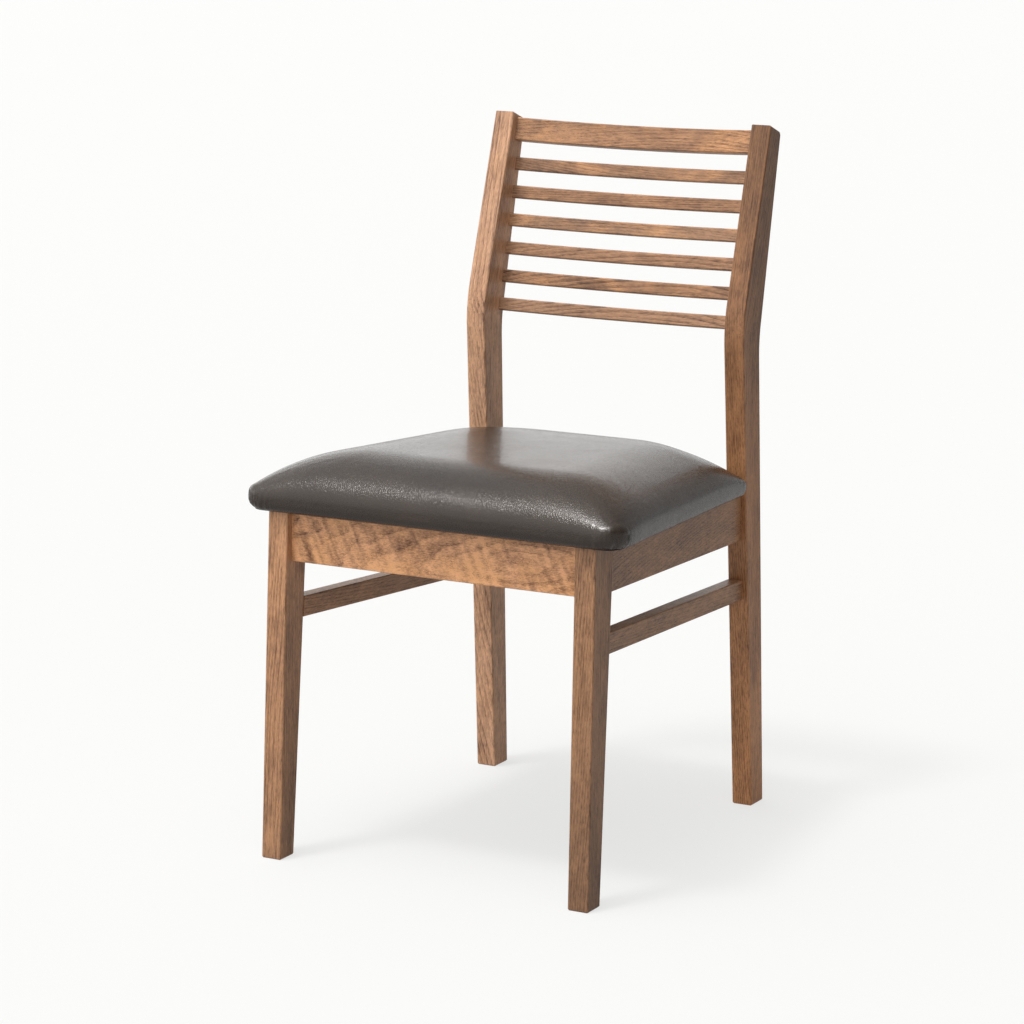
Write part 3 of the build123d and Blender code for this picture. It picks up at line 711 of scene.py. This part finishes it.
gather = {
    "corner": 0.026,            # the gathers turn about a point this far in from the front and the side
    "pitch": 0.0062, "depth": 0.0006, "ripple": 1.6,
    "alongEdges": 0.03,         # how far they run from the corner before they fade
    "fullHeight": 0.008, "fade": 0.016,
    "creaseDepth": 0.0026, "creaseWidth": 0.0028, "creaseRise": 0.017, "creaseLean": 0.12,
}


def pinchCorners(made):
    # small gathers where the cover is pulled round the front corners, and one crease at each
    g = gather
    points = vertexValues(made.data, "co")
    normals = vertexValues(made.data, "normal")
    cornerX, cornerY = pad["frontX"] - g["corner"], pad["frontY"] + g["corner"]
    for place, point in enumerate(points):
        height = seatHeight(point)
        x, y = abs(point[0]) - cornerX, point[1] - cornerY
        if height > 0.05 or height < 0.002 or x < -0.05 or y > 0.07:
            continue            # too far off for the gathers to reach
        run = math.atan2(x, -y) * g["corner"] + max(0.0, y) - max(0.0, -x)
        near = math.exp(-(max(0.0, y) / g["alongEdges"]) ** 2)
        near *= math.exp(-(max(0.0, -x) / g["alongEdges"]) ** 2)
        low = math.exp(-(max(0.0, height - g["fullHeight"]) / g["fade"]) ** 2)
        wander = noise.noise(Vector((run * 60, math.copysign(1.3, point[0]), height * 25)))
        wave = math.sin(2 * math.pi * run / g["pitch"] + g["ripple"] * wander) * g["depth"]
        off = run - g["corner"] * math.pi / 4 - g["creaseLean"] * height
        crease = math.exp(-(off / g["creaseWidth"]) ** 2)
        crease *= g["creaseDepth"] * math.exp(-(height / g["creaseRise"]) ** 2)
        points[place] += normals[place] * ((wave - abs(wave) * 0.4) * near * low - crease)
    setPoints(made.data, points)


def boardRoom():
    # flat closed block that cuts the board's place out of the pad
    work = bmesh.new()
    low, high = -0.01, pad["boardTop"]
    loop = padLoop(pad["boardInset"], 0.006)
    bottom, top = ([work.verts.new(seatPoint(point.x, point.y, height)) for point in loop]
                   for height in (low, high))
    bridge(work, bottom, top)
    closeLoop(work, bottom, low)
    closeLoop(work, top, high)
    return objectFrom(work, "boardRoom")


def trimPad(made):
    # keeps the pad's bottom flat, and clear of the posts at the rear corners
    points = vertexValues(made.data, "co")
    limit = pad["notchY"] + pad["postGap"]
    for point in points:
        if seatHeight(point) < pad["bottom"]:
            point[:] = seatPoint(point[0], point[1], pad["bottom"])
        if abs(point[0]) > pad["notchX"]:
            point[1] = min(point[1], limit)
    setPoints(made.data, points)


def buildPad():
    made = padShell(pad["startInset"])
    remesh = made.modifiers.new("remesh", "REMESH")
    remesh.mode = "VOXEL"
    remesh.voxel_size = pad["voxel"]
    applyAll(made)
    puff(made)
    relax = made.modifiers.new("relax", "SMOOTH")
    relax.factor = 0.5
    relax.iterations = 2
    applyAll(made)
    subdivide(made, 1)
    settle(made, 8)
    settle(made, 4)
    trimPad(made)
    pinchCorners(made)
    room = boardRoom()
    cut = made.modifiers.new("boardRoom", "BOOLEAN")
    cut.operation = "DIFFERENCE"
    cut.object = room
    cut.solver = "MANIFOLD"
    applyAll(made)
    dropObject(room)
    made.data.materials.clear()
    made.data.materials.append(leather)
    made.data.shade_smooth()
    made.data.set_sharp_from_angle(angle=pad["sharp"])
    print("pad:", len(made.data.polygons), "faces")
    return made


seatPad = buildPad()
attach(seatPad, "root")
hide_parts("seat_cover", "seat_foam")


liningCut = {
    "inset": 0.008, "thick": 0.0004, "height": 0.0003,
    "sag": 0.004, "ripple": 0.0006,             # how far its middle hangs, and how uneven it is
    "edgeLoops": (1.0, 0.985, 0.965, 0.94, 0.91), "sharp": math.radians(40),
}


def buildLining():
    work = bmesh.new()
    outer = padLoop(liningCut["inset"], 0.006)
    centre = Vector((0, pad["middleY"]))
    loops = []
    for share in [*liningCut["edgeLoops"], *(0.87 - 0.045 * k for k in range(19))]:
        inside = min(1.0, max(0.0, (0.84 - share) / 0.5))
        droop = liningCut["sag"] * inside * inside * (3 - 2 * inside)
        ring = []
        for point in outer:
            x, y = centre + (point - centre) * share
            ripple = liningCut["ripple"] * inside * noise.noise(Vector((x * 26, y * 26, 0.4)))
            ring.append(work.verts.new(seatPoint(x, y, liningCut["height"] - droop + ripple)))
        loops.append(ring)
    for first, second in zip(loops, loops[1:]):
        bridge(work, first, second)
    closeLoop(work, loops[-1], liningCut["height"] - liningCut["sag"])
    made = objectFrom(work, "seat_lining")
    wall = made.modifiers.new("wall", "SOLIDIFY")
    wall.thickness = liningCut["thick"]
    wall.offset = 0
    applyAll(made)
    made.data.materials.append(lining)
    made.data.shade_smooth()
    made.data.set_sharp_from_angle(angle=liningCut["sharp"])
    return made


seatLining = buildLining()
edgeLoop = padLoop(liningCut["inset"])
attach(seatLining, "root")
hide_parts("seat_dust_cover")


def islands(name):
    # the separate solids of a node, each as an array of points
    work = bmesh.new()
    work.from_mesh(nodes[name].data)
    bmesh.ops.remove_doubles(work, verts=work.verts, dist=1e-5)
    work.verts.ensure_lookup_table()
    seen, found = set(), []
    for vert in work.verts:
        if vert.index in seen:
            continue
        stack, members = [vert], []
        seen.add(vert.index)
        while stack:
            one = stack.pop()
            members.append(tuple(one.co))
            for edge in one.link_edges:
                other = edge.other_vert(one)
                if other.index not in seen:
                    seen.add(other.index)
                    stack.append(other)
        found.append(np.array(members))
    work.free()
    return found


def screwPlaces(name, headHeight):
    # each screw's place under its head, the way it is driven, and its shank's length
    found = []
    for cloud in islands(name):
        middle = cloud.mean(0)
        axis = np.linalg.svd(cloud - middle, full_matrices=False)[2][0]
        along = (cloud - middle) @ axis
        wide = np.linalg.norm(cloud - middle - np.outer(along, axis), axis=1)
        if along[wide.argmax()] > 0:
            axis, along = -axis, -along
        low, high = along.min(), along.max()
        centre = (cloud.min(0) + cloud.max(0)) / 2
        centre = centre + axis * ((low + high) / 2 - (centre - middle) @ axis)
        head = centre - axis * (high - low) / 2
        found.append((Vector(head + axis * headHeight), Vector(axis), high - low - headHeight))
    return found


def lifted(w, geometry, height):
    return w.add("GeometryNodeTransform", {"Geometry": geometry,
                                           "Translation": w.triple(0.0, 0.0, height)}).outputs[0]


def setAtPoints(w, given, shape, result):
    # the shape stands on every point, its Z along outward and its X along sideways
    turn = w.add("FunctionNodeAxesToRotation", primary_axis="Z", secondary_axis="X")
    for number, label in enumerate(("outward", "sideways")):
        way = w.add("GeometryNodeInputNamedAttribute", {"Name": label}, data_type="FLOAT_VECTOR")
        w.join(way.outputs["Attribute"], turn.inputs[number])
    placed = w.add("GeometryNodeInstanceOnPoints", {"Points": given["Geometry"], "Instance": shape,
                                                    "Rotation": turn.outputs[0]})
    real = w.add("GeometryNodeRealizeInstances", {0: placed.outputs[0]})
    finish = w.add("GeometryNodeSetMaterial", {"Geometry": real.outputs[0], "Material": given["Material"]})
    w.join(finish.outputs[0], result.inputs[0])


def screwTree():
    w, given, result = startGroup(
        "panScrews", "GeometryNodeTree",
        [("Geometry", "NodeSocketGeometry", None),
         ("Head Radius", "NodeSocketFloat", 0.004), ("Head Height", "NodeSocketFloat", 0.0026),
         ("Shank Radius", "NodeSocketFloat", 0.0019), ("Shank Length", "NodeSocketFloat", 0.02),
         ("Recess Width", "NodeSocketFloat", 0.0009), ("Recess Length", "NodeSocketFloat", 0.0046),
         ("Recess Depth", "NodeSocketFloat", 0.0015), ("Material", "NodeSocketMaterial", None)],
        [("Geometry", "NodeSocketGeometry")])
    radius, tall = given["Head Radius"], given["Head Height"]
    head = w.add("GeometryNodeMeshCylinder", {"Vertices": 32, "Side Segments": 3, "Fill Segments": 5,
                                              "Radius": radius, "Depth": tall})
    # dome: the top sinks towards the rim, with the square of the distance from the middle
    x, y, z = w.parts(w.add("GeometryNodeInputPosition").outputs[0])
    share = w.maths("DIVIDE", w.plus(w.times(x, x), w.times(y, y)), w.times(radius, radius))
    upper = w.maths("MAXIMUM", w.maths("DIVIDE", z, tall), 0.0)
    drop = w.times(w.times(share, upper), w.times(tall, -0.9))
    domed = w.add("GeometryNodeSetPosition", {"Geometry": head.outputs["Mesh"],
                                              "Offset": w.triple(0.0, 0.0, drop)})
    raised = lifted(w, domed.outputs[0], w.times(tall, 0.5))
    cut = w.add("GeometryNodeMeshBoolean", {0: raised}, operation="DIFFERENCE", solver="EXACT")
    for wide, long in (("Recess Width", "Recess Length"), ("Recess Length", "Recess Width")):
        size = w.triple(given[wide], given[long], w.times(given["Recess Depth"], 2.0))
        bar = w.add("GeometryNodeMeshCube", {"Size": size})
        w.join(lifted(w, bar.outputs["Mesh"], tall), cut.inputs[1])
    shank = w.add("GeometryNodeMeshCylinder", {"Vertices": 16, "Radius": given["Shank Radius"],
                                               "Depth": given["Shank Length"]})
    sunk = lifted(w, shank.outputs["Mesh"], w.times(given["Shank Length"], -0.5))
    both = w.add("GeometryNodeJoinGeometry", {0: sunk})
    w.join(cut.outputs["Mesh"], both.inputs[0])
    setAtPoints(w, given, both.outputs[0], result)
    return w.tree


def stapleTree():
    w, given, result = startGroup(
        "wireStaples", "GeometryNodeTree",
        [("Geometry", "NodeSocketGeometry", None),
         ("Crown Length", "NodeSocketFloat", 0.010), ("Leg Length", "NodeSocketFloat", 0.0075),
         ("Wire Radius", "NodeSocketFloat", 0.00045), ("Bend Radius", "NodeSocketFloat", 0.0007),
         ("Material", "NodeSocketMaterial", None)],
        [("Geometry", "NodeSocketGeometry")])
    # four points: the foot of one leg, both ends of the crown, the foot of the other leg
    line = w.add("GeometryNodeMeshLine", {"Count": 4})
    index = w.add("GeometryNodeInputIndex").outputs[0]
    x = w.times(w.less(w.maths("GREATER_THAN", index, 1.5), 0.5), given["Crown Length"])
    foot = w.maths("GREATER_THAN", w.maths("ABSOLUTE", w.less(index, 1.5)), 1.0)
    bent = w.add("GeometryNodeSetPosition", {
        "Geometry": line.outputs[0], "Position": w.triple(x, 0.0, w.times(foot, given["Leg Length"]))})
    path = w.add("GeometryNodeMeshToCurve", {0: bent.outputs[0]})
    soft = w.add("GeometryNodeFilletCurve", {0: path.outputs[0], "Count": 3, "Radius": given["Bend Radius"]},
                 mode="POLY")
    wire = w.add("GeometryNodeCurvePrimitiveCircle", {"Resolution": 8, "Radius": given["Wire Radius"]})
    solid = w.add("GeometryNodeCurveToMesh", {"Curve": soft.outputs[0], "Profile Curve": wire.outputs[0],
                                              "Fill Caps": True})
    setAtPoints(w, given, solid.outputs[0], result)
    return w.tree


def spread(name, places, tree, values):
    # places are (position, outward, sideways); the tree's shape is set at each
    mesh = bpy.data.meshes.new(name)
    mesh.from_pydata([row[0] for row in places], [], [])
    for label, index in (("outward", 1), ("sideways", 2)):
        attribute = mesh.attributes.new(label, "FLOAT_VECTOR", "POINT")
        attribute.data.foreach_set("vector", [c for row in places for c in row[index]])
    made = newObject(name, mesh)
    modifier = made.modifiers.new("spread", "NODES")
    modifier.node_group = tree
    for socket in tree.interface.items_tree:
        if socket.in_out == "INPUT" and socket.name in values:
            modifier[socket.identifier] = values[socket.name]
    applyAll(made)
    made.data.set_sharp_from_angle(angle=math.radians(35))
    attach(made, "root")
    return made


screwSize = {
    "Head Radius": 0.004, "Head Height": 0.0026, "Shank Radius": 0.0019,
    "Recess Width": 0.0009, "Recess Length": 0.0046, "Recess Depth": 0.0015,
}
screwTwist = 0.9                # radians from one screw's recess to the next one's
panScrews = screwTree()
for name, group in (("block_screws", "corner_block_screws"), ("seat_fixing_screws", "seat_screws")):
    found = screwPlaces(group, screwSize["Head Height"])
    places = []
    for number, (position, drive, length) in enumerate(found):
        across = drive.orthogonal().normalized()
        turn = screwTwist * number
        sideways = across * math.cos(turn) + drive.cross(across) * math.sin(turn)
        places.append((position, -drive, sideways))
    shortest = float(min(length for position, drive, length in found))
    made = spread(name, places, panScrews, {**screwSize, "Shank Length": shortest, "Material": screwSteel})
    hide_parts(group)
    print(name, len(places), "screws, shank", round(found[0][2] * 1000, 1), "mm")


stapleSize = {"Crown Length": 0.010, "Leg Length": 0.0075, "Wire Radius": 0.00045, "Bend Radius": 0.0007}


def staplePlaces():
    # each staple's crown lies just under the lining, along the longest way of its underside
    up = (seatPoint(0, 0, 1) - seatPoint(0, 0, 0)).normalized()
    found = []
    for cloud in islands("cover_staples"):
        level = np.array([seatHeight(point) for point in cloud])
        under = cloud[level < level.min() + 0.0001][:, :2]
        middle = under.mean(0)
        axis = np.linalg.svd(under - middle, full_matrices=False)[2][0]
        run = seatPoint(*axis, 0) - seatPoint(0, 0, 0)
        run = (run - up * run.dot(up)).normalized()
        found.append((seatPoint(*middle, -0.0001), up, run))
    return found


staples = spread("cover_staple_wires", staplePlaces(), stapleTree(), {**stapleSize, "Material": stapleSteel})
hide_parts("cover_staples")
print("staples set:", len(staples.data.polygons), "faces")


studio = {
    "floorColor": (0.17, 0.17, 0.169), "floorGlow": 0.685, "bounceGlow": 0.28, "floorHalf": 60.0,
    "key": 1.36, "keySpread": math.radians(10), "keyFrom": (-0.193, -0.310, 0.931),
    "ambient": 0.30, "backdrop": 0.97,
    "sideFrom": (1.0, -0.15, 0.0), "dimSide": 0.60,
    "frontFrom": (-0.45, -0.62, 0.60), "frontGlow": 1.1,
    "rearFrom": (-0.80, 0.60, 0.0), "rearGlow": 1.35, "rearTop": 0.54, "rearFade": 0.42,
    "boxFrom": (-0.10, -0.22, 0.97), "boxGlow": 9.5, "boxPower": 40.0,
    "lens": 127.05, "sensor": 36,
    "eye": (2.06395, -3.7566, 1.29505), "target": (-0.01594, -0.03319, 0.39804),
}


def buildFloor():
    mesh = bpy.data.meshes.new("studio_floor")
    half = studio["floorHalf"]
    corners = [(-half, -half, 0), (half, -half, 0), (half, half, 0), (-half, half, 0)]
    mesh.from_pydata(corners, [], [(0, 1, 2, 3)])
    made = newObject("studio_floor", mesh)
    material, w, shader = startMaterial("paleFloor")
    tone = w.noise(placedVector(w), 0.8)
    w.join(w.blend(tone, tint(studio["floorColor"], 1.0), tint(studio["floorColor"], 0.98)),
           shader.inputs["Base Color"])
    shader.inputs["Emission Color"].default_value = (1.0, 1.0, 0.99, 1)
    seen = w.add("ShaderNodeLightPath").outputs["Is Camera Ray"]
    w.join(w.span(seen, 0.0, 1.0, studio["bounceGlow"], studio["floorGlow"]),
           shader.inputs["Emission Strength"])
    shader.inputs["Roughness"].default_value = 0.9
    shader.inputs["Specular IOR Level"].default_value = 0.1
    mesh.materials.append(material)


def buildSky():
    # pale surround: bright ahead, overhead and low at the rear right, dimmer on the sitter's left
    world = bpy.data.worlds.new("studioSurround")
    scene.world = world
    world.use_nodes = True
    w = Wiring(world.node_tree)
    way = w.add("ShaderNodeTexCoord").outputs["Generated"]
    side, front, rear, above = (
        w.vector("DOT_PRODUCT", way, Vector(studio[label]).normalized())
        for label in ("sideFrom", "frontFrom", "rearFrom", "boxFrom"))
    side, front, above = (w.maths("MAXIMUM", share, 0.0) for share in (side, front, above))
    rear = w.times(w.span(rear, 0.5, 1.0),
                   w.span(w.parts(way)[2], studio["rearTop"], studio["rearTop"] - studio["rearFade"]))
    dim = w.less(1.0, w.times(w.maths("POWER", side, 0.7), studio["dimSide"]))
    level = w.times(dim, studio["ambient"])
    for share, glow in ((front, studio["frontGlow"]), (rear, studio["rearGlow"]),
                        (w.maths("POWER", above, studio["boxPower"]), studio["boxGlow"])):
        level = w.plus(level, w.times(share, glow))
    seen = w.add("ShaderNodeLightPath").outputs["Is Camera Ray"]
    level = w.plus(w.times(level, w.less(1.0, seen)), w.times(seen, studio["backdrop"]))
    shader = world.node_tree.nodes["Background"]
    w.join(w.triple(level, level, w.times(level, 0.99)), shader.inputs["Color"])


def buildKey():
    light = bpy.data.lights.new("keyLight", "SUN")
    light.energy = studio["key"]
    light.angle = studio["keySpread"]
    made = newObject("keyLight", light)
    made.rotation_euler = Vector(studio["keyFrom"]).to_track_quat("Z", "Y").to_euler()


def buildCamera():
    data = bpy.data.cameras.new("camera")
    data.lens = studio["lens"]
    data.sensor_width = studio["sensor"]
    data.clip_end = 200
    made = newObject("camera", data)
    made.location = studio["eye"]
    made.rotation_euler = (Vector(studio["target"]) - made.location).to_track_quat("-Z", "Y").to_euler()
    scene.camera = made


buildFloor()
buildSky()
buildKey()
buildCamera()
scene.view_settings.view_transform = "Standard"
print("studio built")
